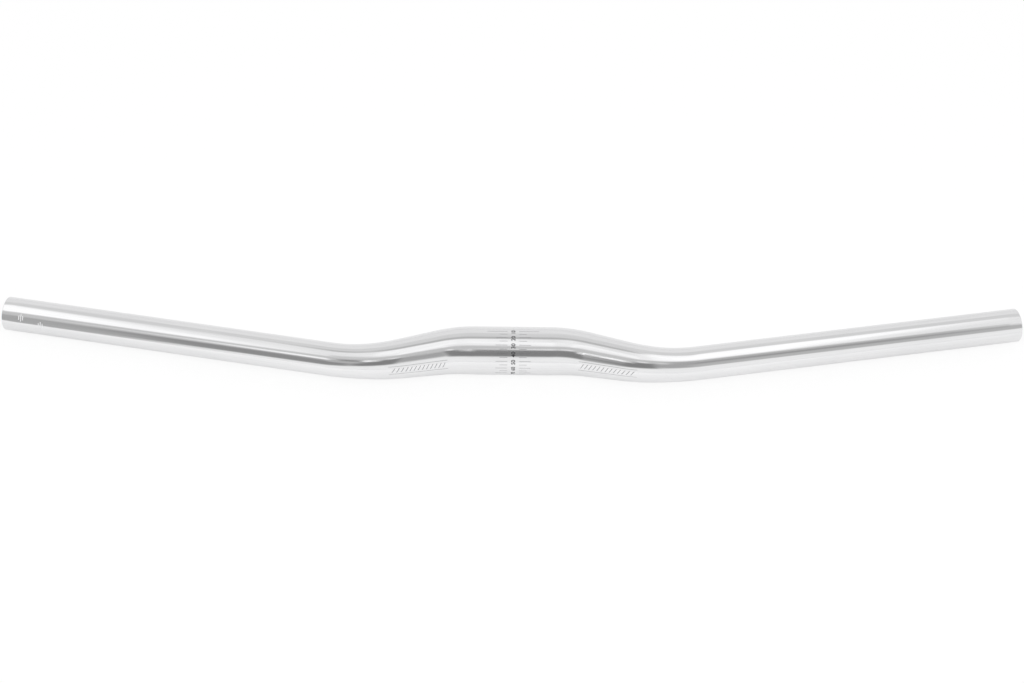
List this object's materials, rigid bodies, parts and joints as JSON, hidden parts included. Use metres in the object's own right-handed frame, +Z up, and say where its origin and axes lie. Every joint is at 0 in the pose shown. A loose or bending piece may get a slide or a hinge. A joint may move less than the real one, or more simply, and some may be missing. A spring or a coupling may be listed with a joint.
{
  "type": "flat bicycle handlebar",
  "caption": "Flat handlebar: a bent aluminium tube, thick where the stem clamps it and narrowing through a double bend to straight grips that point slightly back.",
  "frame": {"origin": "middle of the clamp area, on the tube's axis", "axes": "+X runs along the bar and along the clamp area's axis, +Y points back towards the rider, +Z points up; the bar lies on its clamp area and on its two tips, so the grips dip 9.6 degrees about X from the level plane"},
  "size_m": [0.68, 0.062, 0.0318],
  "materials": {
    "polished_aluminium": "polished",
    "scale_lines": "matte",
    "scale_figures": "matte"
  },
  "bodies": {
    "root": {"handlebar": "polished_aluminium"}
  },
  "joints": []
}
